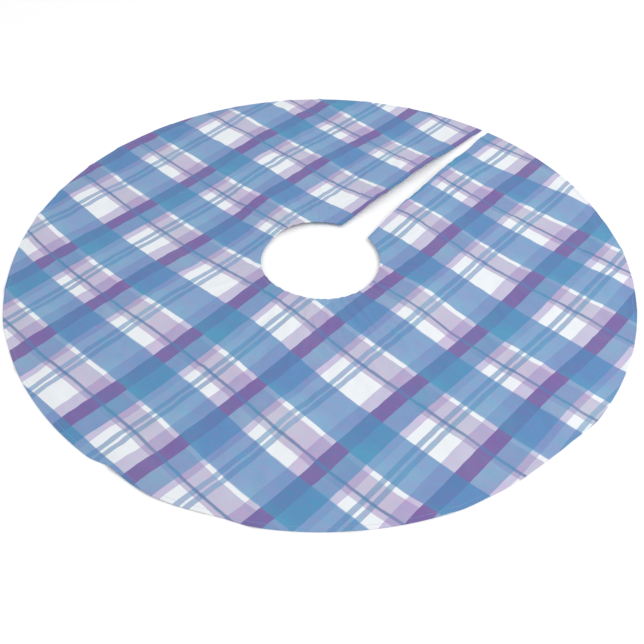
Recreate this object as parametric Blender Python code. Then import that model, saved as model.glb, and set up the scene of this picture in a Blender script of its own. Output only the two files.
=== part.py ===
"""Round tree skirt: one layer of brushed polyester with a hole for the trunk and a slit at the back.

Metres, +Z up. The origin is on the floor under the middle of the hole, and the slit runs along +Y.
Bearings are degrees clockwise from +Y, seen from above, so the slit is at 0 and +X at 90.

The cloth lies on the floor in low folds. It is made in three panels: a main panel, and one flap on
each side of the slit, which fold up and back to open the skirt round a trunk. Every edge is turned
under in a narrow hem and held by a row of stitching.
"""

import math

import bmesh
import bpy
from mathutils import Matrix, Vector

INCH = 0.0254
MM = 0.001

# Driving dimensions of the cut cloth
RIM_RADIUS = 44 * INCH / 2
HOLE_RADIUS = 8.5 * INCH / 2
CLOTH_THICKNESS = 1.2 * MM
HEM_WIDTH = 9 * MM
STITCH_INSET = 6.5 * MM
STITCH_WIDTH = 0.7 * MM
STITCH_HEIGHT = 0.5 * MM
CLEARANCE = 0.3 * MM

# The slit is a wedge: each side is a straight line at an offset from the middle, turned by a slant.
SLIT_LEFT_OFFSET = -38.5 * MM
SLIT_LEFT_SLANT = 0.0
SLIT_RIGHT_OFFSET = 31.8 * MM
SLIT_RIGHT_SLANT = -5.73

# The flaps turn about straight lines just above the cloth, from the hole to the rim.
LEFT_FLAP_BEARING = -36.0
RIGHT_FLAP_BEARING = 30.0
LEFT_HINGE_HEIGHTS = (10.5 * MM, 5.8 * MM)
RIGHT_HINGE_HEIGHTS = (17.6 * MM, 11.6 * MM)

# How the cloth lies: where it would dip below the floor it lies flat, and it droops at the rim.
FLOOR_DROP = 5.0 * MM
RIM_DROOP_WIDTH = 30 * MM
RIM_DROOP_SHARE = 0.75
RIM_DROOP_DROP = 1.0 * MM

# Each fold: x, y, half length and half width in millimetres, turn of its length from +X in
# degrees, and its height in millimetres, negative for a dip.
FOLDS = (
    (45, 205, 125, 65, 5, 9.5),
    (-30, 355, 110, 85, 110, 9.0),
    (-170, 460, 110, 75, -15, -12.0),
    (60, 475, 65, 45, -5, -6.0),
    (295, 485, 155, 50, -25, 7.5),
    (290, 285, 90, 60, 10, -6.5),
    (190, 55, 90, 60, 90, 7.0),
    (335, 0, 120, 65, 95, -7.5),
    (505, 115, 85, 60, -5, -5.5),
    (485, -85, 100, 65, -35, -6.5),
    (365, -310, 165, 135, 35, -9.5),
    (485, -285, 85, 40, 35, 8.0),
    (250, -305, 105, 55, 5, 8.0),
    (150, -540, 130, 55, 15, 8.5),
    (10, -420, 75, 55, 85, -5.5),
    (-100, -275, 100, 75, 95, 6.5),
    (40, -130, 130, 95, -70, 7.0),
    (-265, -45, 150, 100, -35, -10.5),
    (-340, -200, 100, 75, 110, -5.5),
    (-315, -390, 80, 65, 100, -6.5),
    (-485, -305, 90, 45, 135, 5.5),
    (-160, 45, 105, 55, 175, 6.0),
    (-280, 315, 105, 90, 75, -4.5),
    (-465, -60, 75, 60, -10, -3.5),
    (-150, 180, 70, 85, -10, -6.0),
    (-170, -495, 70, 40, 100, -3.5),
    (-505, 225, 125, 45, 55, 1.5),
    (405, 180, 110, 75, 25, -3.0),
    (-200, 235, 40, 60, 35, 3.0),
)

# Rings of points over the cloth: across the hem of the hole, between the hems, and across the
# hem of the rim. The middle two rings of a hem are the sides of its row of stitching.
SPOKE_STEP = 5.0
HEM_STEPS = (0.0, STITCH_INSET - STITCH_WIDTH / 2, STITCH_INSET + STITCH_WIDTH / 2, HEM_WIDTH)
NECK_RINGS = tuple(HOLE_RADIUS + step for step in HEM_STEPS)
INNER_RINGS = (0.15, 0.18, 0.21, 0.24, 0.27, 0.30, 0.34, 0.38, 0.42, 0.46, 0.49, 0.52, 0.535)
RIM_RINGS = tuple(RIM_RADIUS - step for step in HEM_STEPS[::-1])

# Care label, sewn into the hem of the slit's left side
LABEL_LENGTH = 45 * MM
LABEL_RINGS = (0.46, 0.49)
LABEL_THICKNESS = 0.4 * MM
LABEL_BASE = 0.2 * MM
LABEL_STEPS = 3

# Colours of the finishes: base colour and roughness
PRINT_COLOUR = (0.30, 0.42, 0.66)
HEM_COLOUR = (0.24, 0.36, 0.60)
THREAD_COLOUR = (0.46, 0.56, 0.74)
LABEL_COLOUR = (0.86, 0.87, 0.88)
CLOTH_ROUGHNESS = 0.9
THREAD_ROUGHNESS = 0.6

# Heights above the lie of the cloth of each layer's underside: hem, cloth, stitching
CLOTH_BASE = CLOTH_THICKNESS + CLEARANCE
STITCH_BASE = CLOTH_BASE + CLOTH_THICKNESS + CLEARANCE


def cut(offset, slant):
    """A straight cut at an offset from the middle, turned by a slant: its bearing at each radius."""
    return lambda radius: math.degrees(math.asin(offset / radius)) + slant


def spokes(first, last, steps):
    """Lines spread evenly from one cut to another, both included."""
    return [
        lambda radius, share=step / steps: first(radius) * (1 - share) + last(radius) * share
        for step in range(steps + 1)
    ]


def smoothstep(t):
    t = min(max(t, 0.0), 1.0)
    return t * t * (3 - 2 * t)


def lift(x, y):
    """How far the cloth lies above the floor at a point."""
    radius = math.hypot(x, y)
    height = FLOOR_DROP
    for fold_x, fold_y, half_length, half_width, turn, rise in FOLDS:
        angle = math.radians(turn)
        dx = x - fold_x * MM
        dy = y - fold_y * MM
        along = (dx * math.cos(angle) + dy * math.sin(angle)) / (half_length * MM)
        across = (dy * math.cos(angle) - dx * math.sin(angle)) / (half_width * MM)
        height += rise * MM * math.exp(-(along**2) - across**2)
    droop = smoothstep((radius - RIM_RADIUS + HEM_WIDTH + RIM_DROOP_WIDTH) / RIM_DROOP_WIDTH)
    height *= 1 - RIM_DROOP_SHARE * droop
    height -= RIM_DROOP_DROP * droop
    return max(height, 0.0)


def point(radius, bearing):
    """The point of the floor at a distance and bearing from the middle."""
    angle = math.radians(bearing)
    return radius * math.sin(angle), radius * math.cos(angle)


def finish(name, colour, roughness):
    """A matte material of one colour."""
    material = bpy.data.materials.new(name)
    material.use_nodes = True
    shader = material.node_tree.nodes["Principled BSDF"]
    shader.inputs["Base Color"].default_value = (*colour, 1.0)
    shader.inputs["Roughness"].default_value = roughness
    shader.inputs["Metallic"].default_value = 0.0
    return material


def strip(name, radii, lines, base, thickness, colour, roughness, hinge=None):
    """A band of cloth over the given radii and lines, which follows the lie of the skirt.

    Its underside is base above the lie. A band on a flap is parented to the flap's hinge.
    Neighbouring layers share their radii and lines, so that their facets stay parallel.
    """
    mesh = bmesh.new()
    rows = []
    for radius in radii:
        row = []
        for line in lines:
            x, y = point(radius, line(radius))
            row.append(mesh.verts.new((x, y, lift(x, y) + base)))
        rows.append(row)
    for inner, outer in zip(rows, rows[1:]):
        for a, b, c, d in zip(inner, inner[1:], outer[1:], outer):
            mesh.faces.new((a, b, c))
            mesh.faces.new((a, c, d))
    whole = mesh.verts[:] + mesh.edges[:] + mesh.faces[:]
    raised = bmesh.ops.extrude_face_region(mesh, geom=whole, use_keep_orig=True)
    top = [item for item in raised["geom"] if isinstance(item, bmesh.types.BMVert)]
    bmesh.ops.translate(mesh, verts=top, vec=(0, 0, thickness))
    bmesh.ops.recalc_face_normals(mesh, faces=mesh.faces)

    data = bpy.data.meshes.new(name)
    mesh.to_mesh(data)
    mesh.free()
    data.materials.append(finish(name, colour, roughness))
    node = bpy.data.objects.new(name, data)
    bpy.context.scene.collection.objects.link(node)
    if hinge is not None:
        data.transform(hinge.matrix_basis.inverted())
        node.parent = hinge
    return node


def add_hinge(name, bearing, heights):
    """An empty on a flap's fold line at the hole, with its Z axis along the line to the rim."""
    inner = Vector((*point(HOLE_RADIUS, bearing), heights[0]))
    outer = Vector((*point(RIM_RADIUS, bearing), heights[1]))
    turn = (outer - inner).to_track_quat("Z", "Y")
    hinge = bpy.data.objects.new(name, None)
    hinge.matrix_basis = Matrix.LocRotScale(inner, turn, None)
    bpy.context.scene.collection.objects.link(hinge)
    return hinge


def add_panel(panel, lines, hinge=None):
    """One panel of cloth, with its hems and stitching at the rim and the hole."""
    strip(f"face_cloth_{panel}", NECK_RINGS + INNER_RINGS + RIM_RINGS, lines, CLOTH_BASE,
          CLOTH_THICKNESS, PRINT_COLOUR, CLOTH_ROUGHNESS, hinge)
    for edge, rings in (("rim", RIM_RINGS), ("neck", NECK_RINGS)):
        strip(f"{edge}_hem_{panel}", rings, lines, 0.0, CLOTH_THICKNESS, HEM_COLOUR,
              CLOTH_ROUGHNESS, hinge)
        strip(f"{edge}_stitching_{panel}", rings[1:3], lines, STITCH_BASE, STITCH_HEIGHT,
              THREAD_COLOUR, THREAD_ROUGHNESS, hinge)


def add_slit_side(side, lines, hinge):
    """The hem and stitching along one side of the slit, between those of the hole and the rim."""
    hem_rings = (NECK_RINGS[-1] + CLEARANCE, *INNER_RINGS, RIM_RINGS[0] - CLEARANCE)
    row_rings = (NECK_RINGS[2] + CLEARANCE, NECK_RINGS[3], *INNER_RINGS,
                 RIM_RINGS[0], RIM_RINGS[1] - CLEARANCE)
    strip(f"slit_hem_{side}", hem_rings, lines, 0.0, CLOTH_THICKNESS, HEM_COLOUR,
          CLOTH_ROUGHNESS, hinge)
    strip(f"slit_stitching_{side}", row_rings, lines[1:3], STITCH_BASE, STITCH_HEIGHT,
          THREAD_COLOUR, THREAD_ROUGHNESS, hinge)


def build():
    for old in list(bpy.data.objects):
        bpy.data.objects.remove(old)

    half_gap = CLEARANCE / 2
    main_steps = round((360 - RIGHT_FLAP_BEARING + LEFT_FLAP_BEARING) / SPOKE_STEP)
    left_steps = round(-LEFT_FLAP_BEARING / SPOKE_STEP)
    right_steps = round(RIGHT_FLAP_BEARING / SPOKE_STEP)
    hem_insets = (HEM_WIDTH, STITCH_INSET + STITCH_WIDTH / 2, STITCH_INSET - STITCH_WIDTH / 2, 0.0)

    add_panel("main", spokes(cut(half_gap, RIGHT_FLAP_BEARING),
                             cut(-half_gap, 360 + LEFT_FLAP_BEARING), main_steps))

    left_hinge = add_hinge("left_flap_hinge", LEFT_FLAP_BEARING, LEFT_HINGE_HEIGHTS)
    left_fold = cut(half_gap, LEFT_FLAP_BEARING)
    left_edge = [cut(SLIT_LEFT_OFFSET - inset, SLIT_LEFT_SLANT) for inset in hem_insets]
    add_panel("left_flap", spokes(left_fold, left_edge[0], left_steps) + left_edge[1:], left_hinge)
    add_slit_side("left", left_edge, left_hinge)

    right_hinge = add_hinge("right_flap_hinge", RIGHT_FLAP_BEARING, RIGHT_HINGE_HEIGHTS)
    right_fold = cut(-half_gap, RIGHT_FLAP_BEARING)
    right_edge = [cut(SLIT_RIGHT_OFFSET + inset, SLIT_RIGHT_SLANT) for inset in hem_insets[::-1]]
    add_panel("right_flap", right_edge[:-1] + spokes(right_edge[-1], right_fold, right_steps),
              right_hinge)
    add_slit_side("right", right_edge, right_hinge)

    label_end = SLIT_LEFT_OFFSET - HEM_WIDTH - CLEARANCE
    label_lines = spokes(cut(label_end - LABEL_LENGTH, SLIT_LEFT_SLANT),
                         cut(label_end, SLIT_LEFT_SLANT), LABEL_STEPS)
    strip("care_label", LABEL_RINGS, label_lines, LABEL_BASE, LABEL_THICKNESS, LABEL_COLOUR,
          THREAD_ROUGHNESS, left_hinge)


build()
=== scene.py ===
"""Looks of the round tree skirt: printed cloth, turned hems, stitching and care label.

Metres, +Z up. The origin is on the floor under the middle of the hole, and the slit runs along +Y.
Bearings are degrees clockwise from +Y, seen from above. The cloth is one grid of points: its rows
run round the skirt, from the hole to the rim, and its columns run outwards, from the right side of
the slit round to the left side.
"""

import math

import bpy
import numpy as np
from mathutils import Matrix, Vector


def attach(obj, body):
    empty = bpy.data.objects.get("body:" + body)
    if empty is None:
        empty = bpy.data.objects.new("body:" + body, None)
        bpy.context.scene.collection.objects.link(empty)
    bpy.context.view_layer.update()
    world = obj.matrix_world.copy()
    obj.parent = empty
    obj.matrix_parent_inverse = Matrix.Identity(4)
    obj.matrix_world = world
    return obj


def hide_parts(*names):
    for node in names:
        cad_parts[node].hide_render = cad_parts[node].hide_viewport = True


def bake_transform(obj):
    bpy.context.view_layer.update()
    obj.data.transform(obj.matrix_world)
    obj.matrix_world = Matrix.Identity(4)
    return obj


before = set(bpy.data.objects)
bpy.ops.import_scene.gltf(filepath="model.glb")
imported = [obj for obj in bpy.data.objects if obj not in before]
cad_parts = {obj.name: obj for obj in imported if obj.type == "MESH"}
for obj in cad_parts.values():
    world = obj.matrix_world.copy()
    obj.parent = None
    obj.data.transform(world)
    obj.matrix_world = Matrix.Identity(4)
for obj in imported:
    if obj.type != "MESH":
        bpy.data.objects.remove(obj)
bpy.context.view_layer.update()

MM = 0.001

# The cut cloth, as the part has it
RIM_RADIUS = 558.8 * MM
HOLE_RADIUS = 107.95 * MM
SLIT_LEFT = (-38.5 * MM, 0.0)
SLIT_RIGHT = (31.8 * MM, -5.73)
HEM_WIDTH = 9 * MM
STITCH_INSET = 6.5 * MM

# How the cloth lies, as the part has it: where it would dip below the floor it lies flat, and it
# droops at the rim
FLOOR_DROP = 5.0 * MM
RIM_DROOP_WIDTH = 30 * MM
RIM_DROOP_SHARE = 0.75
RIM_DROOP_DROP = 1.0 * MM

# Each fold: x, y, half length and half width in millimetres, turn of its length from +X in
# degrees, and its height in millimetres, negative for a dip.
FOLDS = (
    (45, 205, 125, 65, 5, 9.5),
    (-30, 355, 110, 85, 110, 9.0),
    (-170, 460, 110, 75, -15, -12.0),
    (60, 475, 65, 45, -5, -6.0),
    (295, 485, 155, 50, -25, 7.5),
    (290, 285, 90, 60, 10, -6.5),
    (190, 55, 90, 60, 90, 7.0),
    (335, 0, 120, 65, 95, -7.5),
    (505, 115, 85, 60, -5, -5.5),
    (485, -85, 100, 65, -35, -6.5),
    (365, -310, 165, 135, 35, -9.5),
    (485, -285, 85, 40, 35, 8.0),
    (250, -305, 105, 55, 5, 8.0),
    (150, -540, 130, 55, 15, 8.5),
    (10, -420, 75, 55, 85, -5.5),
    (-100, -275, 100, 75, 95, 6.5),
    (40, -130, 130, 95, -70, 7.0),
    (-265, -45, 150, 100, -35, -10.5),
    (-340, -200, 100, 75, 110, -5.5),
    (-315, -390, 80, 65, 100, -6.5),
    (-485, -305, 90, 45, 135, 5.5),
    (-160, 45, 105, 55, 175, 6.0),
    (-280, 315, 105, 90, 75, -4.5),
    (-465, -60, 75, 60, -10, -3.5),
    (-150, 180, 70, 85, -10, -6.0),
    (-170, -495, 70, 40, 100, -3.5),
    (-505, 225, 125, 45, 55, 1.5),
    (405, 180, 110, 75, 25, -3.0),
    (-200, 235, 40, 60, 35, 3.0),
)

# Heights above the lie, and the rounding where the cloth turns under
CLOTH_TOP = 2.4 * MM
FABRIC = 0.9 * MM
ROLL = 1.05 * MM

# Lines of points beside every edge, from the rounding inwards, how far the row of stitching and
# the step off the doubled hem press the cloth down there, and the grid's steps over the rest, in
# metres outwards and in degrees round
EDGE_STEPS = (ROLL, 3.5 * MM, STITCH_INSET, 9.5 * MM, 13 * MM, 18 * MM)
EDGE_DROPS = (0.0, 0.0, 0.25 * MM, 0.1 * MM, 0.4 * MM, 0.5 * MM)
STITCH_LINE = EDGE_STEPS.index(STITCH_INSET)
ROW_STEP = 5.2 * MM
SPOKE_STEP = 0.67

# The visible cloth is divided here, outside the stretch that bends, and bends this far each side
RIGHT_SEAM = 40.0
LEFT_SEAM = 360 - 46.0

# Where the rim is tucked in under itself: bearing and distance in millimetres
RIM_TUCKS = (
    (22, 0), (28, 2), (33, 3), (37, 2), (42, 0), (88, 0), (94, 7), (99, 8), (103, 7), (106, 4.5),
    (112, 3), (116, 0), (147, 0), (151, 5), (154, 5), (160, 3), (163, 3), (166, 6), (169, 10),
    (172, 13), (175, 7), (190, 6), (197, 4.5), (205, 3), (210, 0),
)
TUCK_REACH = 70 * MM

# The print: a square tile of stripes, in 648ths of its side
TILE = 337.83 * MM
TILE_UNITS = 648
ALONG_START = 0.1172
ACROSS_START = 0.5593

# The printed cloth isn't quite square to its print: each pull is a place, and how far the print
# is drawn there, in millimetres
PULLS = (
    (-225, -540, 2.9, 1.5), (-100, -540, 0.4, 5.0), (25, -540, 2.3, 5.3), (150, -540, -4.2, 0.9),
    (-287, -432, -0.4, -1.0), (-162, -432, -6.5, -6.4), (-37, -432, -0.3, -5.6),
    (88, -432, -1.5, -2.0), (213, -432, -1.8, -10.8), (338, -432, -2.8, -3.5),
    (-475, -324, 0.2, 0.2), (-350, -324, 1.4, -0.4), (-225, -324, 2.9, 0.6), (-100, -324, 0.5, 0.4),
    (25, -324, 4.7, 5.6), (150, -324, -1.2, 0.9), (275, -324, -1.8, 4.6), (400, -324, 7.1, -3.3),
    (-537, -215, 0.9, 7.6), (-412, -215, 0.6, -2.5), (-287, -215, -2.1, -0.4),
    (-162, -215, -2.9, -1.3), (-37, -215, 1.8, -1.2), (88, -215, -0.1, 2.5),
    (213, -215, -0.3, -8.9), (338, -215, -2.9, -2.2), (463, -215, -5.4, -1.9),
    (-475, -107, 2.1, -2.3), (-350, -107, 1.5, 3.0), (-225, -107, 2.9, -3.0),
    (-100, -107, -4.7, 1.7), (25, -107, 2.9, 6.0), (150, -107, -2.9, 1.4), (275, -107, 0.2, 2.8),
    (400, -107, 2.3, 2.0), (525, -107, 3.6, -3.3), (-537, 1, -0.4, 0.7), (-412, 1, -1.8, 0.4),
    (-287, 1, 7.1, -4.5), (-162, 1, 0.1, 4.9), (88, 1, -5.1, -7.0), (213, 1, -0.2, -0.3),
    (338, 1, 5.3, -4.5), (463, 1, -10.7, -2.4), (588, 1, 0.5, 1.9), (-475, 110, 3.4, -1.5),
    (-350, 110, 1.0, 5.5), (-225, 110, -2.9, 1.6), (-100, 110, -6.4, 0.8), (25, 110, -0.6, 4.7),
    (150, 110, 3.6, 8.4), (275, 110, -2.4, 2.8), (400, 110, 7.5, 4.5), (525, 110, -0.1, -1.0),
    (-537, 218, -1.9, -5.2), (-412, 218, -0.2, -6.2), (-287, 218, 1.9, -2.8),
    (-162, 218, -3.5, -6.6), (-37, 218, -1.6, -4.3), (88, 218, 8.7, 5.3), (213, 218, -12.0, -14.0),
    (338, 218, 7.2, 0.5), (463, 218, -1.1, -0.2), (-475, 326, -1.3, 2.4), (-350, 326, 3.3, 1.5),
    (-225, 326, 0.6, 1.6), (-100, 326, -0.7, 3.5), (25, 326, -5.1, -2.9), (150, 326, -3.5, -2.4),
    (275, 326, -3.4, 3.6), (400, 326, -0.2, 0.4), (-287, 434, 5.4, 2.2), (-162, 434, 4.4, 1.8),
    (-37, 434, -6.5, -9.7), (88, 434, -0.3, -0.1), (213, 434, -1.7, -3.1), (338, 434, 4.9, -2.4),
    (-225, 542, 6.4, -0.3), (-100, 542, -5.6, -7.3), (25, 542, -1.4, -4.2), (150, 542, -9.2, 2.9),
)
PULL_REACH = 144 * MM

# How far the print is drawn along X and Y, as a share of how far the rim droops there
RIM_DRAW = (0.672, -0.733)

# The camera's place, the way its right and its back face, and its lens in millimetres
CAMERA_PLACE = (0.80840, -0.87684, 1.04529)
CAMERA_RIGHT = (0.73376, 0.67939, 0.00507)
CAMERA_BACK = (0.47651, -0.51994, 0.70895)
CAMERA_LENS = 48.584
CAMERA_SENSOR = 36.0
CAMERA_CLIP = (0.05, 50.0)

STUDIO_LEVEL = 0.93
SOFTBOX_PLACE = (1.8, 0.7, 2.4)
SOFTBOX_SIZE = 1.8
SOFTBOX_POWER = 32
FLOOR_SIZE = 40


# ---------------------------------------------------------------- the lie of the cloth

def smoothstep(t):
    t = np.clip(t, 0.0, 1.0)
    return t * t * (3 - 2 * t)


def lift(x, y, drooping=True):
    """How far the cloth lies above the floor at each point."""
    radius = np.hypot(x, y)
    height = FLOOR_DROP
    for fold_x, fold_y, half_length, half_width, turn, rise in FOLDS:
        angle = math.radians(turn)
        dx = x - fold_x * MM
        dy = y - fold_y * MM
        along = (dx * math.cos(angle) + dy * math.sin(angle)) / (half_length * MM)
        across = (dy * math.cos(angle) - dx * math.sin(angle)) / (half_width * MM)
        height = height + rise * MM * np.exp(-(along**2) - across**2)
    if not drooping:
        return np.maximum(height, 0.0)
    droop = smoothstep((radius - RIM_RADIUS + HEM_WIDTH + RIM_DROOP_WIDTH) / RIM_DROOP_WIDTH)
    height = height * (1 - RIM_DROOP_SHARE * droop) - RIM_DROOP_DROP * droop
    return np.maximum(height, 0.0)


def cut(edge, inset):
    """A side of the slit, moved into the cloth: its bearing at each radius."""
    offset, slant = edge
    moved = offset + math.copysign(inset, offset)
    return lambda radii: np.degrees(np.arcsin(moved / radii)) + slant


def bearings_of(radii):
    """The bearing of every point of the grid, and the columns where the two seams run."""
    right = [cut(SLIT_RIGHT, step)(radii) for step in EDGE_STEPS]
    left = [cut(SLIT_LEFT, step)(radii) + 360 for step in EDGE_STEPS]
    counts = [round(span / SPOKE_STEP)
              for span in (RIGHT_SEAM, LEFT_SEAM - RIGHT_SEAM, 360 - LEFT_SEAM)]
    columns = right[:-1]
    columns += [right[-1] * (1 - share) + RIGHT_SEAM * share
                for share in np.linspace(0, 1, counts[0] + 1)[:-1]]
    columns += [radii * 0 + angle for angle in np.linspace(RIGHT_SEAM, LEFT_SEAM, counts[1] + 1)]
    columns += [LEFT_SEAM * (1 - share) + left[-1] * share
                for share in np.linspace(0, 1, counts[2] + 1)[1:]]
    columns += left[-2::-1]
    first_seam = len(EDGE_STEPS) - 1 + counts[0]
    return np.stack(columns, 1), first_seam, first_seam + counts[1]


def lay_out():
    """The flat cut as a grid of points, its radii and bearings, and the two seam columns."""
    inner = [HOLE_RADIUS + step for step in EDGE_STEPS]
    outer = [RIM_RADIUS - step for step in EDGE_STEPS]
    steps = round((outer[-1] - inner[-1]) / ROW_STEP)
    steps += steps % 2
    between = list(np.linspace(inner[-1], outer[-1], steps + 1))
    radii = np.array(inner[:-1] + between + outer[-2::-1])
    bearings, first_seam, second_seam = bearings_of(radii)
    places, tucks = zip(*RIM_TUCKS)
    tuck = np.interp(bearings, places, tucks) * MM
    near_rim = smoothstep((radii - outer[-1] + TUCK_REACH) / TUCK_REACH)
    reach = radii[:, None] - tuck * near_rim[:, None]
    angle = np.radians(bearings)
    flat = np.stack([reach * np.sin(angle), reach * np.cos(angle)], 2)
    return flat, radii, bearings, first_seam, second_seam


def printed_place(flat):
    """Where each point of the cut comes on the print."""
    place = flat.copy()
    for x, y, pull_x, pull_y in PULLS:
        away = np.hypot(flat[..., 0] - x * MM, flat[..., 1] - y * MM)
        place -= np.exp(-((away / PULL_REACH) ** 2))[..., None] * (pull_x * MM, pull_y * MM)
    droop = lift(flat[..., 0], flat[..., 1], False) - lift(flat[..., 0], flat[..., 1])
    return place + droop[..., None] * RIM_DRAW


def pressed(flat, radii):
    """How far the stitching and the step beside the hem press each point down."""
    across_rim = np.interp(RIM_RADIUS - radii, EDGE_STEPS, EDGE_DROPS)
    across_hole = np.interp(radii - HOLE_RADIUS, EDGE_STEPS, EDGE_DROPS)
    down = np.minimum(across_rim, across_hole)[:, None] * np.ones(flat.shape[1])
    for column, drop in enumerate(EDGE_DROPS):
        for place in (column, flat.shape[1] - 1 - column):
            down[:, place] = np.minimum(down[:, place], drop)
    return down


# ---------------------------------------------------------------- making pieces

def select_only(*pieces):
    """Selects these pieces and makes the first one active."""
    bpy.ops.object.select_all(action="DESELECT")
    for piece in pieces:
        piece.select_set(True)
    bpy.context.view_layer.objects.active = pieces[0]


def apply_modifiers(piece):
    """Makes a piece's modifiers part of its mesh."""
    select_only(piece)
    for modifier in list(piece.modifiers):
        bpy.ops.object.modifier_apply(modifier=modifier.name)


def woven_grid(name, points, flat):
    """A grid of cloth: points[row, column] where it lies, flat[row, column] on the cut."""
    rows, columns = points.shape[:2]
    bpy.ops.object.select_all(action="DESELECT")
    bpy.ops.mesh.primitive_grid_add(x_subdivisions=columns - 1, y_subdivisions=rows - 1, size=1)
    piece = bpy.context.object
    piece.name = name
    mesh = piece.data
    mesh.name = name
    mesh.vertices.foreach_set("co", points.astype(np.float32).ravel())
    corner = np.zeros(len(mesh.loops), np.int32)
    mesh.loops.foreach_get("vertex_index", corner)
    layer = mesh.uv_layers[0]
    layer.name = "cut"
    layer.uv.foreach_set("vector", flat.reshape(-1, 2)[corner].astype(np.float32).ravel())
    mesh.update()
    return piece


def thicken(piece, thickness, printed, reverse):
    """Gives cloth its thickness below the printed face, with the plain reverse inside."""
    piece.data.materials.append(printed)
    piece.data.materials.append(reverse)
    solid = piece.modifiers.new("fabric", "SOLIDIFY")
    solid.thickness = thickness
    solid.offset = -1
    solid.material_offset = 1
    solid.material_offset_rim = 0
    apply_modifiers(piece)
    bpy.ops.object.shade_smooth_by_angle(angle=math.radians(50))


def panel(name, grid, flat, first, last, printed, reverse):
    """A panel of the printed cloth between two columns of the grid."""
    piece = woven_grid(name, grid[:, first:last + 1], flat[:, first:last + 1])
    thicken(piece, FABRIC, printed, reverse)
    return piece


# How the whole skirt settles: every so many rows and columns are simulated, each drawn back to its
# given lie, while the cloth is a little too large for it and so rises in small soft ripples
SETTLE_STRIDE = 3
SETTLE_HOLD = 0.2
SETTLE_GROWTH = 0.012
SETTLE_FRAMES = 24
SETTLE_LIMIT = 2.2 * MM
SETTLE_GRAVITY = 0.3
SETTLE_CLOTH = {
    "quality": 6,
    "mass": 0.02,
    "tension_stiffness": 30,
    "compression_stiffness": 30,
    "shear_stiffness": 10,
    "bending_stiffness": 0.3,
    "air_damping": 2,
    "vertex_group_mass": "held",
    "pin_stiffness": 1.0,
    "shrink_min": -SETTLE_GROWTH,
}


def settled(points):
    """How far each point of the grid rises or sinks as the cloth settles on the floor."""
    chosen = []
    for count in points.shape[:2]:
        first = len(EDGE_STEPS) - 1
        inside = np.arange(first, count - first, SETTLE_STRIDE)
        chosen.append(np.r_[0, inside, count - 1])
    coarse = points[np.ix_(*chosen)]
    piece = woven_grid("settling_cloth", coarse, coarse[..., :2])
    held = piece.vertex_groups.new(name="held")
    held.add(list(range(len(piece.data.vertices))), SETTLE_HOLD, "REPLACE")
    cloth_modifier = piece.modifiers.new("settling", "CLOTH")
    for setting, value in SETTLE_CLOTH.items():
        setattr(cloth_modifier.settings, setting, value)
    cloth_modifier.settings.effector_weights.gravity = SETTLE_GRAVITY
    cloth_modifier.collision_settings.use_collision = False
    cloth_modifier.point_cache.frame_start = 1
    cloth_modifier.point_cache.frame_end = SETTLE_FRAMES
    scene = bpy.context.scene
    for frame_number in range(1, SETTLE_FRAMES + 1):
        scene.frame_set(frame_number)
    apply_modifiers(piece)
    scene.frame_set(1)
    settled_points = np.zeros(coarse.size, np.float32)
    piece.data.vertices.foreach_get("co", settled_points)
    bpy.data.objects.remove(piece)
    rise = settled_points.reshape(coarse.shape)[..., 2] - coarse[..., 2]
    rise = SETTLE_LIMIT * np.tanh(rise / SETTLE_LIMIT)
    columns = np.arange(points.shape[1])
    wide = np.stack([np.interp(columns, chosen[1], row) for row in rise])
    rows = np.arange(points.shape[0])
    return np.stack([np.interp(rows, chosen[0], column) for column in wide.T], 1)


# A hem in section: the angles of the rounding, and shares of the turned strip's width
ROLL_ANGLES = np.radians([0, 4, 16, 36, 60, 90, 120, 150, 180])
STRIP_SHARES = (0.35, 0.7, 1.0)
CORNER_TURNS = np.radians([30, 60, 90])
MITRE_GAP = 0.3 * MM


def unit(vectors):
    return vectors / np.linalg.norm(vectors, axis=-1, keepdims=True)


def hem_widths(stations, corner_at_start, corner_at_end):
    """The turned strip's width at each station, mitred where it meets the next hem."""
    widths = np.full(stations, HEM_WIDTH)
    for step, distance in enumerate(EDGE_STEPS):
        if corner_at_start:
            widths[step] = min(HEM_WIDTH, distance - MITRE_GAP)
        if corner_at_end:
            widths[-1 - step] = min(HEM_WIDTH, distance - MITRE_GAP)
    return widths


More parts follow.
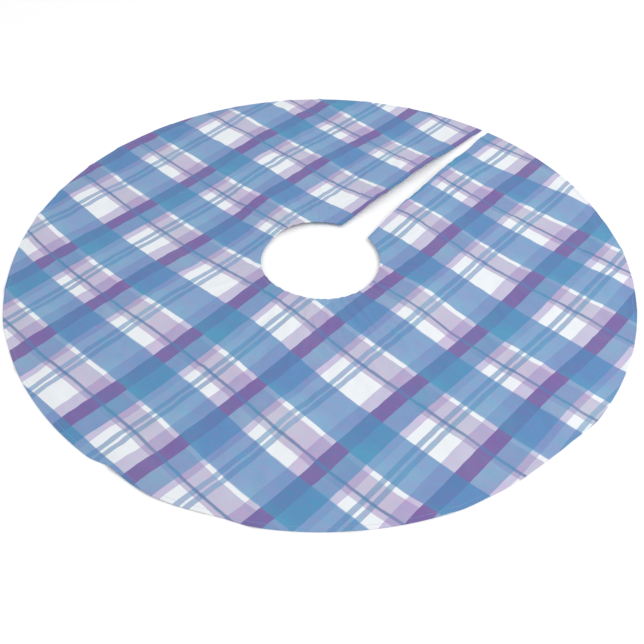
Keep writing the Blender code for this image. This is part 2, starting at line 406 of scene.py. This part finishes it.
def hem(name, lines, flat_lines, ends, rounded, printed, reverse):
    """A hem: the cloth rolls over the edge and comes back under itself.

    lines[step, station] are the cloth's points beside the edge, from the edge inwards, and
    flat_lines the same on the cut. ends says whether the hem's start and end are at a corner, and
    rounded whether this hem makes the corner's rounding too.
    """
    widths = hem_widths(lines.shape[1], *ends)
    turns = np.zeros(lines.shape[1])
    order = np.arange(lines.shape[1])
    if rounded and ends[0]:
        order = np.r_[[0] * len(CORNER_TURNS), order]
        turns = np.r_[CORNER_TURNS[::-1], turns]
    if rounded and ends[1]:
        order = np.r_[order, [order[-1]] * len(CORNER_TURNS)]
        turns = np.r_[turns, -CORNER_TURNS]
    lines, flat_lines, widths = lines[:, order], flat_lines[:, order], widths[order]

    cosine, sine = np.cos(turns)[:, None], np.sin(turns)[:, None]
    outward = unit(lines[0] - lines[1])
    sideways = unit(np.stack([-outward[:, 1], outward[:, 0], 0 * outward[:, 0]], 1))
    outward = outward * cosine + sideways * sine
    flat_outward = unit(flat_lines[0] - flat_lines[1])
    flat_sideways = np.stack([-flat_outward[:, 1], flat_outward[:, 0]], 1)
    flat_outward = flat_outward * cosine + flat_sideways * sine

    up = np.array([0.0, 0.0, 1.0])
    rows = [lines[0] + outward * ROLL * math.sin(angle) - up * ROLL * (1 - math.cos(angle))
            for angle in ROLL_ANGLES]
    flat_rows = [flat_lines[0] + flat_outward * ROLL * angle for angle in ROLL_ANGLES]
    for share in STRIP_SHARES:
        depth = np.maximum(widths - ROLL, 0) * share
        under = np.stack([
            [np.interp(ROLL + depth[station], EDGE_STEPS, lines[:, station, axis])
             for axis in range(3)]
            for station in range(lines.shape[1])
        ])
        rows.append(under - up * 2 * ROLL)
        flat_rows.append(flat_lines[0] + flat_outward * (math.pi * ROLL + depth)[:, None])
    piece = woven_grid(name, np.stack(rows), np.stack(flat_rows))
    bpy.ops.object.mode_set(mode="EDIT")
    bpy.ops.mesh.select_all(action="SELECT")
    bpy.ops.mesh.remove_doubles(threshold=0.01 * MM)
    bpy.ops.mesh.dissolve_degenerate(threshold=0.005 * MM)
    bpy.ops.object.mode_set(mode="OBJECT")
    thicken(piece, FABRIC, printed, reverse)
    return piece


# A row of stitches, and how far the row below is shifted, as a share of the pitch
STITCH_LENGTH = 2.5 * MM
STITCH_PITCH = 3.3 * MM
THREAD_WIDTH = 0.45 * MM
THREAD_HEIGHT = 0.3 * MM
UNDER_SHIFT = 0.5
THREAD_ABOVE = 0.06 * MM


def one_stitch():
    """A stitch lying along X: its points and its faces."""
    bpy.ops.object.select_all(action="DESELECT")
    bpy.ops.mesh.primitive_uv_sphere_add(segments=6, ring_count=4, radius=0.5)
    pattern = bpy.context.object
    bpy.ops.object.mode_set(mode="EDIT")
    bpy.ops.mesh.select_all(action="SELECT")
    bpy.ops.transform.rotate(value=math.pi / 2, orient_axis="Y", center_override=(0, 0, 0))
    bpy.ops.transform.resize(value=(STITCH_LENGTH, THREAD_WIDTH, THREAD_HEIGHT))
    bpy.ops.object.mode_set(mode="OBJECT")
    points = np.array([vertex.co for vertex in pattern.data.vertices])
    faces = [tuple(face.vertices) for face in pattern.data.polygons]
    bpy.data.objects.remove(pattern)
    return points, faces


def stitching(name, upper, under, thread):
    """Rows of stitches along the top of a hem and along its turned strip, as one piece."""
    pattern, pattern_faces = one_stitch()
    points, faces = [], []
    for line, shift in ((upper, 0.0), (under, UNDER_SHIFT)):
        lengths = np.r_[0, np.cumsum(np.linalg.norm(np.diff(line, axis=0), axis=1))]
        count = int(lengths[-1] / STITCH_PITCH - shift)
        spare = lengths[-1] - (count - 1) * STITCH_PITCH
        middles = spare / 2 + np.arange(count) * STITCH_PITCH
        for middle in middles:
            ends = [np.array([np.interp(middle + side * STITCH_LENGTH / 2, lengths, line[:, axis])
                              for axis in range(3)]) for side in (-1, 1)]
            forward = unit(ends[1] - ends[0])
            sideways = unit(np.array([-forward[1], forward[0], 0.0]))
            upward = np.cross(forward, sideways)
            start = len(points) * len(pattern)
            points.append((ends[0] + ends[1]) / 2 + pattern @ np.stack([forward, sideways, upward]))
            faces += [tuple(start + corner for corner in face) for face in pattern_faces]
    mesh = bpy.data.meshes.new(name)
    mesh.from_pydata(np.concatenate(points), [], faces)
    piece = bpy.data.objects.new(name, mesh)
    bpy.context.scene.collection.objects.link(piece)
    mesh.materials.append(thread)
    select_only(piece)
    bpy.ops.object.shade_smooth()
    return piece


# ---------------------------------------------------------------- finishes

class Tint:
    """A number or colour that varies over a piece. Arithmetic on numbers adds Math nodes."""

    def __init__(self, finish, socket):
        self.finish = finish
        self.socket = socket

    def __add__(self, other):
        return self.finish.math("ADD", self, other)

    def __radd__(self, other):
        return self.finish.math("ADD", other, self)

    def __sub__(self, other):
        return self.finish.math("SUBTRACT", self, other)

    def __rsub__(self, other):
        return self.finish.math("SUBTRACT", other, self)

    def __mul__(self, other):
        return self.finish.math("MULTIPLY", self, other)

    def __rmul__(self, other):
        return self.finish.math("MULTIPLY", other, self)


class Finish:
    """A material, its nodes and its shader."""

    def __init__(self, name):
        self.material = bpy.data.materials.new(name)
        self.material.use_nodes = True
        self.tree = self.material.node_tree
        self.shader = self.tree.nodes["Principled BSDF"]

    def feed(self, socket, value):
        if isinstance(value, Tint):
            self.tree.links.new(value.socket, socket)
        else:
            socket.default_value = value

    def node(self, kind, settings, inputs, output=0):
        """A node of a type, with its settings, then the values or links of its sockets."""
        made = self.tree.nodes.new("ShaderNode" + kind)
        for setting, value in settings.items():
            if setting == "stops":
                stops = made.color_ramp.elements
                for place, colour in value[1:-1]:
                    stops.new(place).color = colour
                for stop, (place, colour) in zip((stops[0], stops[-1]), (value[0], value[-1])):
                    stop.position = place
                    stop.color = colour
            elif setting == "blending":
                made.color_ramp.interpolation = value
            else:
                setattr(made, setting, value)
        for place, value in inputs.items():
            self.feed(made.inputs[place], value)
        return Tint(self, made.outputs[output])

    def math(self, operation, *values):
        return self.node("Math", {"operation": operation}, dict(enumerate(values)))

    def blend(self, share, first, second, how="MIX"):
        """A mix of two colours."""
        settings = {"data_type": "RGBA", "blend_type": how}
        return self.node("Mix", settings, {0: share, 6: first, 7: second}, output=2)

    def clamped(self, value):
        """A number kept from 0 to 1."""
        value.socket.node.use_clamp = True
        return value

    def ramp(self, place, stops, blending):
        """The colour at a place from 0 to 1 along a row of stops."""
        return self.node("ValToRGB", {"stops": stops, "blending": blending}, {0: place})

    def noise(self, place, size, detail=2.0, roughness=0.5):
        """Soft random variation from 0 to 1, whose patches are about the given size."""
        sockets = {"Vector": place, "Scale": 1 / size, "Detail": detail, "Roughness": roughness}
        return self.node("TexNoise", {}, sockets)

    def place(self, x, y, z=0.0):
        return self.node("CombineXYZ", {}, {0: x, 1: y, 2: z})

    def bump(self, height, depth, strength=1.0):
        """Relief of the given depth in metres, from a height of 0 to 1."""
        sockets = {"Height": height, "Distance": depth, "Strength": strength}
        self.feed(self.shader.inputs["Normal"], self.node("Bump", {}, sockets))

    def set(self, **values):
        for name, value in values.items():
            self.feed(self.shader.inputs[name.replace("_", " ")], value)


# How a dyed level surface shows under the studio light: its colour times a gain, and a haze over it
LIGHT_GAIN = (1.055, 1.075, 1.06)
LIGHT_HAZE = (0.035, 0.032, 0.048)


def dye(red, green, blue):
    """A dye by the colour from 0 to 255 that it shows under the studio light."""
    mixed = []
    for level, gain, haze in zip((red, green, blue), LIGHT_GAIN, LIGHT_HAZE):
        shade = level / 255
        shade = shade / 12.92 if shade <= 0.04045 else ((shade + 0.055) / 1.055) ** 2.4
        mixed.append(max((shade - haze) / gain, 0.0))
    return (*mixed, 1.0)


# The stripes that run outwards along the slit: width and kind
STRIPES = (
    (47, "purple"), (61.5, "teal"), (25.5, "pink"), (32, "bare"), (18, "line"), (8.7, "bare"),
    (18, "line"), (47, "bare"), (47.3, "lavender"), (50, "plum"), (66, "blue"), (24, "rose"),
    (34.8, "bare"), (17, "thin"), (9.2, "bare"), (16.2, "thin"), (83.3, "bare"), (42.5, "lavender"),
)

# The colours of each kind of stripe where it is bare, and where a blue, pink or line stripe
# crosses it
CROSSINGS = {
    "purple": (dye(127, 115, 168), dye(101, 135, 180), dye(124, 115, 168), dye(107, 128, 176)),
    "teal": (dye(130, 160, 197), dye(99, 147, 188), dye(125, 154, 193), dye(99, 146, 184)),
    "pink": (dye(198, 196, 220), dye(129, 157, 198), dye(179, 169, 202), dye(131, 144, 183)),
    "bare": (dye(231, 237, 241), dye(137, 164, 202), dye(194, 192, 213), dye(131, 147, 180)),
    "line": (dye(162, 186, 207), dye(114, 152, 193), dye(148, 169, 196), dye(109, 146, 181)),
    "lavender": (dye(197, 194, 218), dye(129, 152, 196), dye(177, 168, 202), dye(132, 144, 182)),
    "plum": (dye(130, 115, 168), dye(103, 131, 179), dye(127, 112, 168), dye(109, 124, 175)),
    "blue": (dye(142, 166, 200), dye(105, 144, 190), dye(134, 156, 195), dye(105, 146, 185)),
    "rose": (dye(196, 195, 220), dye(128, 151, 196), dye(174, 167, 201), dye(129, 141, 181)),
    "thin": (dye(166, 188, 210), dye(115, 150, 192), dye(153, 173, 202), dye(112, 143, 183)),
}

# The stripes printed across them: width, and the crossing that they make, if any
CROSS_STRIPES = (
    (100, 0), (144, 1), (17.3, 0), (63.9, 2), (10.8, 3), (16.7, 2),
    (44.6, 0), (139.7, 1), (16, 0), (67.9, 2), (12, 3), (15.1, 2),
)
STRIPE_SOFTNESS = 1.0

# The size of the waver of the stripes' edges, and its reach as a share of the tile
WAVER_SIZE = 14 * MM
WAVER_REACH = 0.003

# Sizes of the print's random washes, patches, streaks and blots
WASH_SIZE = 110 * MM
PATCH_SIZE = 30 * MM
STREAK_SIZE = 9 * MM
BLOT_SIZE = 3.2 * MM

# What the random dyes multiply the print's colour by, from one end of their range to the other
WHITE = (1.0, 1.0, 1.0, 1.0)
WASH_DYE = (1.005, 1.125, 1.03, 1)
TURN_DYES = ((0.985, 0.88, 0.985, 1), (1.02, 1.09, 1.015, 1))
STREAK_DYES = ((0.86, 1.04, 1.01, 1), (1.14, 0.955, 0.99, 1))
BLOT_DYES = ((1.10, 0.93, 0.97, 1), (0.90, 1.07, 1.03, 1))

# The weave's pitch, and the plain reverse with the share of the print that shows through it
WEAVE_PITCH = 0.62 * MM
REVERSE_COLOUR = (0.80, 0.82, 0.85, 1)
SHOW_THROUGH = 0.14


def stripe_stops(crossing):
    """The colours along one row of crossings."""
    stops, start = [], 0
    for width, kind in STRIPES:
        stops.append((start / TILE_UNITS, CROSSINGS[kind][crossing]))
        start += width
    return stops


def cross_stops():
    """The cover of blue, pink and line as red, green and blue, and the way down the stripe."""
    stops, start = [], 0
    for width, crossing in CROSS_STRIPES:
        cover = tuple(float(crossing == kind) for kind in (1, 2, 3))
        for share in (0.0, 1.0):
            spot = start + STRIPE_SOFTNESS + share * (width - 2 * STRIPE_SOFTNESS)
            stops.append((spot / TILE_UNITS, (*cover, share)))
        start += width
    return stops


def plaid(finish):
    """The print's colour, and its place on the cut in metres."""
    cut_place = finish.node("UVMap", {"uv_map": "cut"}, {})
    x = finish.node("SeparateXYZ", {}, {0: cut_place}, output=0)
    y = finish.node("SeparateXYZ", {}, {0: cut_place}, output=1)
    along = finish.math("FRACT", x * (1 / TILE) + ALONG_START)
    across = finish.math("FRACT", ACROSS_START - y * (1 / TILE))
    repeat = finish.place(along * TILE, across * TILE)
    turned_repeat = finish.place(across * TILE, along * TILE, 0.7)
    stripe = along + (finish.noise(repeat, WAVER_SIZE, 3.0) - 0.5) * WAVER_REACH
    cross = across + (finish.noise(turned_repeat, WAVER_SIZE, 3.0) - 0.5) * WAVER_REACH

    bare, blue, pink, line = (
        finish.ramp(stripe, stripe_stops(crossing), "CONSTANT") for crossing in range(4))
    covers = finish.ramp(cross, cross_stops(), "LINEAR")
    way_down = Tint(finish, covers.socket.node.outputs[1])
    blue_cover, pink_cover, line_cover = (
        finish.node("SeparateColor", {}, {0: covers}, output=output) for output in range(3))
    colour = finish.blend(blue_cover, bare, blue)
    colour = finish.blend(pink_cover, colour, pink)
    colour = finish.blend(line_cover, colour, line)

    # Soft random washes of teal in the blue stripes, and elsewhere dye that turns at random between
    # violet and teal, with streaks and blots over both; pale cloth takes none of them
    def channel(value, output):
        return finish.node("SeparateColor", {}, {0: value}, output=output)

    def spread(value, gain):
        return finish.clamped((value - 0.5) * gain + 0.5)

    stretched = finish.place(along * (TILE * 0.35), cross * TILE, 0.3)
    squeezed = finish.place(along * TILE, cross * (TILE * 0.5), 0.9)
    streaks = finish.noise(stretched, STREAK_SIZE, 3.0)
    patches = finish.noise(repeat, PATCH_SIZE, 3.0)
    broad = finish.noise(repeat, WASH_SIZE, 1.0)
    wash = finish.clamped((way_down - 0.55) * 2.5 + (broad - 0.5) * 6.0 + (patches - 0.5) * 1.5)
    washed = finish.blend(wash * blue_cover, WHITE, WASH_DYE)
    turn = finish.clamped((broad - 0.5) * 2.0 + (patches - 0.5) * 0.9 + 0.5)
    inked = finish.clamped(1.45 - channel(colour, 0) * 1.9)
    turned = finish.blend(inked * (1.0 - blue_cover), WHITE, finish.blend(turn, *TURN_DYES))
    streaked = finish.blend(spread(streaks, 2.2), *STREAK_DYES)
    blots = spread(finish.noise(squeezed, BLOT_SIZE, 2.0), 2.0)
    painted = finish.blend(1.0, streaked, finish.blend(blots, *BLOT_DYES), "MULTIPLY")
    for tint in (washed, turned, finish.blend(inked, WHITE, painted)):
        colour = finish.blend(1.0, colour, tint, "MULTIPLY")
    return colour, x, y, cut_place


def printed_finish(name):
    """The printed face: the plaid on a fine weave with a short pile."""
    finish = Finish(name)
    colour, x, y, cut_place = plaid(finish)
    threads = finish.math("SINE", x * (math.tau / WEAVE_PITCH))
    picks = finish.math("SINE", y * (math.tau / WEAVE_PITCH))
    pile = finish.noise(cut_place, 0.8 * MM, 3.0)
    finish.set(Base_Color=colour, Roughness=0.9, Specular_IOR_Level=0.2,
               Sheen_Weight=0.06, Sheen_Roughness=0.5)
    finish.bump(threads * picks * 0.25 + pile, 0.12 * MM, 0.5)
    return finish.material


def reverse_finish(name):
    """The unprinted reverse: pale pile with a little of the print showing through."""
    finish = Finish(name)
    colour, _, _, cut_place = plaid(finish)
    pale = finish.blend(SHOW_THROUGH, REVERSE_COLOUR, colour)
    pile = finish.noise(cut_place, 0.9 * MM, 3.0)
    finish.set(Base_Color=pale, Roughness=0.92, Specular_IOR_Level=0.2,
               Sheen_Weight=0.15, Sheen_Roughness=0.6)
    finish.bump(pile, 0.25 * MM, 0.6)
    return finish.material


def thread_finish(name):
    """Twisted sewing thread, a little shiny."""
    finish = Finish(name)
    place = finish.node("TexCoord", {}, {}, output=3)
    twist = finish.noise(place, 0.4 * MM, 2.0)
    colour = finish.blend(twist, (0.27, 0.36, 0.58, 1), (0.40, 0.48, 0.68, 1))
    finish.set(Base_Color=colour, Roughness=0.55, Specular_IOR_Level=0.4)
    finish.bump(twist, 0.05 * MM, 0.6)
    return finish.material


def label_finish(name):
    """Ribbed woven tape with slight wear."""
    finish = Finish(name)
    place = finish.node("TexCoord", {}, {}, output=3)
    x = finish.node("SeparateXYZ", {}, {0: place}, output=0)
    y = finish.node("SeparateXYZ", {}, {0: place}, output=1)
    ribs = finish.math("SINE", (x + y) * (math.tau / (0.5 * MM)))
    wear = finish.noise(place, 9 * MM, 3.0)
    colour = finish.blend(wear, (0.82, 0.83, 0.84, 1), (0.88, 0.88, 0.87, 1))
    finish.set(Base_Color=colour, Roughness=wear * 0.15 + 0.38, Specular_IOR_Level=0.5,
               Sheen_Weight=0.1)
    finish.bump(ribs * 0.5 + wear, 0.04 * MM, 0.6)
    return finish.material


def floor_finish(name):
    """A plain pale floor."""
    finish = Finish(name)
    place = finish.node("TexCoord", {}, {}, output=3)
    shade = finish.noise(place, 0.9, 1.0)
    colour = finish.blend(shade, (0.94, 0.94, 0.94, 1), (0.95, 0.95, 0.95, 1))
    finish.set(Base_Color=colour, Roughness=0.9, Specular_IOR_Level=0.1)
    return finish.material


# ---------------------------------------------------------------- the skirt

PRINTED = printed_finish("printed_cloth")
REVERSE = reverse_finish("cloth_reverse")
THREAD = thread_finish("sewing_thread")
TAPE = label_finish("label_tape")

flat, radii, bearings, first_seam, second_seam = lay_out()
last = flat.shape[1] - 1
height = lift(flat[..., 0], flat[..., 1])
height = np.maximum(height + settled(np.dstack([flat, height])), 0.0)
lie = np.dstack([flat, height + CLOTH_TOP])
cloth = lie.copy()
cloth[..., 2] -= pressed(flat, radii)
on_print = printed_place(flat)

# Which columns each panel takes, and whether a slit corner is at its first and its last column
PANELS = {
    "right_flap": (0, first_seam, (True, False)),
    "main": (first_seam, second_seam, (False, False)),
    "left_flap": (second_seam, last, (False, True)),
}

# The way across each flap's fold line, level and towards the slit
FLAP_FACING = {"left_flap": (0.809017, 0.587785, 0.0), "right_flap": (-0.866025, 0.5, 0.0)}
steps = len(EDGE_STEPS)


def belong(piece, node, on):
    """The piece stands for its CAD node and rides on the skirt, or, for a flap, has its placement
    baked into its mesh.
    """
    if on in FLAP_FACING:
        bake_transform(piece)
    else:
        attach(piece, on)
    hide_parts(node)
    return piece


def seam_rows(name, top_lines, lie_lines):
    """The stitching of one hem, along its top and along its turned strip."""
    line = top_lines[STITCH_LINE] + (0, 0, THREAD_ABOVE)
    under = lie_lines[STITCH_LINE] - (0, 0, 2 * ROLL)
    return stitching(name, line, under, THREAD)


made = {}
for part, (start, end, corners) in PANELS.items():
    body = "skirt" if part == "main" else part
    face = panel(f"printed_cloth_{part}", cloth, on_print, start, end, PRINTED, REVERSE)
    made[part] = [belong(face, f"face_cloth_{part}", body)]
    across = slice(start, end + 1)
    edges = {
        "rim": (lambda grid: grid[::-1][:steps, across], corners),
        "neck": (lambda grid: grid[:steps, across][:, ::-1], corners[::-1]),
    }
    for edge, (beside, ends) in edges.items():
        turned = hem(f"turned_{edge}_hem_{part}", beside(lie), beside(on_print), ends, True,
                     PRINTED, REVERSE)
        made[part].append(belong(turned, f"{edge}_hem_{part}", body))
        sewn = seam_rows(f"{edge}_thread_{part}", beside(cloth), beside(lie))
        made[part].append(belong(sewn, f"{edge}_stitching_{part}", body))

SIDES = {
    "right": lambda grid: grid[:, :steps].swapaxes(0, 1),
    "left": lambda grid: grid[::-1, ::-1][:, :steps].swapaxes(0, 1),
}
for side, beside in SIDES.items():
    turned = hem(f"turned_slit_hem_{side}", beside(lie), beside(on_print), (True, True), False,
                 PRINTED, REVERSE)
    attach(turned, f"{side}_flap")
    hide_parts(f"slit_hem_{side}")
    inside = slice(3, -3)
    sewn = seam_rows(f"slit_thread_{side}", beside(cloth)[:, inside], beside(lie)[:, inside])
    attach(sewn, f"{side}_flap")
    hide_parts(f"slit_stitching_{side}")
    made[f"{side}_flap"] += [turned, sewn]


# The label: how far out and how far into the cloth from the slit it lies, how far its top is from
# the cloth's lie, and its thickness
LABEL_RADII = (461 * MM, 489 * MM)
LABEL_DEPTHS = (9.5 * MM, 54 * MM)
LABEL_TOP = 0.6 * MM
LABEL_FABRIC = 0.3 * MM


def lie_below(x, y):
    """The settled height of the cloth's lie at a point of the left flap."""
    row = np.interp(math.hypot(x, y), radii, np.arange(len(radii)))
    bearing = 360 + math.degrees(math.atan2(x, y))
    inner = int(row)
    levels = [np.interp(bearing, bearings[step], height[step]) for step in (inner, inner + 1)]
    return levels[0] + (levels[1] - levels[0]) * (row - inner)


def care_label():
    """A blank care label, sewn under the left side of the slit."""
    depths = np.linspace(*LABEL_DEPTHS, 19)[::-1]
    rings = np.linspace(*LABEL_RADII, 13)
    x = np.tile(SLIT_LEFT[0] - depths, (len(rings), 1))
    y = np.sqrt(rings[:, None] ** 2 - x**2)
    levels = np.vectorize(lie_below)(x, y)
    points = np.dstack([x, y, levels + LABEL_TOP])
    piece = woven_grid("blank_care_label", points, points[..., :2])
    thicken(piece, LABEL_FABRIC, TAPE, TAPE)
    return piece


label = care_label()
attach(label, "left_flap")
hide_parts("care_label")
made["left_flap"].append(label)


# ---------------------------------------------------------------- floor, light and camera

bpy.ops.object.select_all(action="DESELECT")
bpy.ops.mesh.primitive_plane_add(size=FLOOR_SIZE)
floor = bpy.context.object
floor.name = "floor"
floor.data.materials.append(floor_finish("pale_floor"))

world = bpy.data.worlds.new("studio")
bpy.context.scene.world = world
world.use_nodes = True
background = world.node_tree.nodes["Background"]
background.inputs["Color"].default_value = (1.0, 1.0, 1.0, 1.0)
background.inputs["Strength"].default_value = STUDIO_LEVEL


bpy.ops.object.select_all(action="DESELECT")
bpy.ops.object.light_add(type="AREA", location=SOFTBOX_PLACE)
lamp = bpy.context.object
lamp.name = "key_softbox"
lamp.data.shape = "SQUARE"
lamp.data.size = SOFTBOX_SIZE
lamp.data.energy = SOFTBOX_POWER
lamp.rotation_mode = "QUATERNION"
lamp.rotation_quaternion = (-Vector(SOFTBOX_PLACE)).to_track_quat("-Z", "Y")

bpy.ops.object.select_all(action="DESELECT")
bpy.ops.object.camera_add(location=CAMERA_PLACE)
camera = bpy.context.object
camera.name = "camera"
camera.rotation_mode = "QUATERNION"
camera_up = Vector(CAMERA_BACK).cross(Vector(CAMERA_RIGHT))
turned = Matrix((CAMERA_RIGHT, camera_up, CAMERA_BACK)).transposed()
camera.rotation_quaternion = turned.to_quaternion()
camera.data.lens = CAMERA_LENS
camera.data.sensor_width = CAMERA_SENSOR
camera.data.clip_start, camera.data.clip_end = CAMERA_CLIP
bpy.context.scene.camera = camera
bpy.context.scene.view_settings.view_transform = "Standard"


# ---------------------------------------------------------------- the area of each panel's cut, worked out and not kept


def flat_area(start, end):
    """The area of the cut between two columns of the grid."""
    a, b = flat[:-1, start:end], flat[1:, start:end]
    c, d = flat[1:, start + 1:end + 1], flat[:-1, start + 1:end + 1]
    first, second = c - a, b - d
    return float(np.abs(first[..., 0] * second[..., 1] - first[..., 1] * second[..., 0]).sum() / 2)


for part, (start, end, _) in PANELS.items():
    flat_area(start, end)
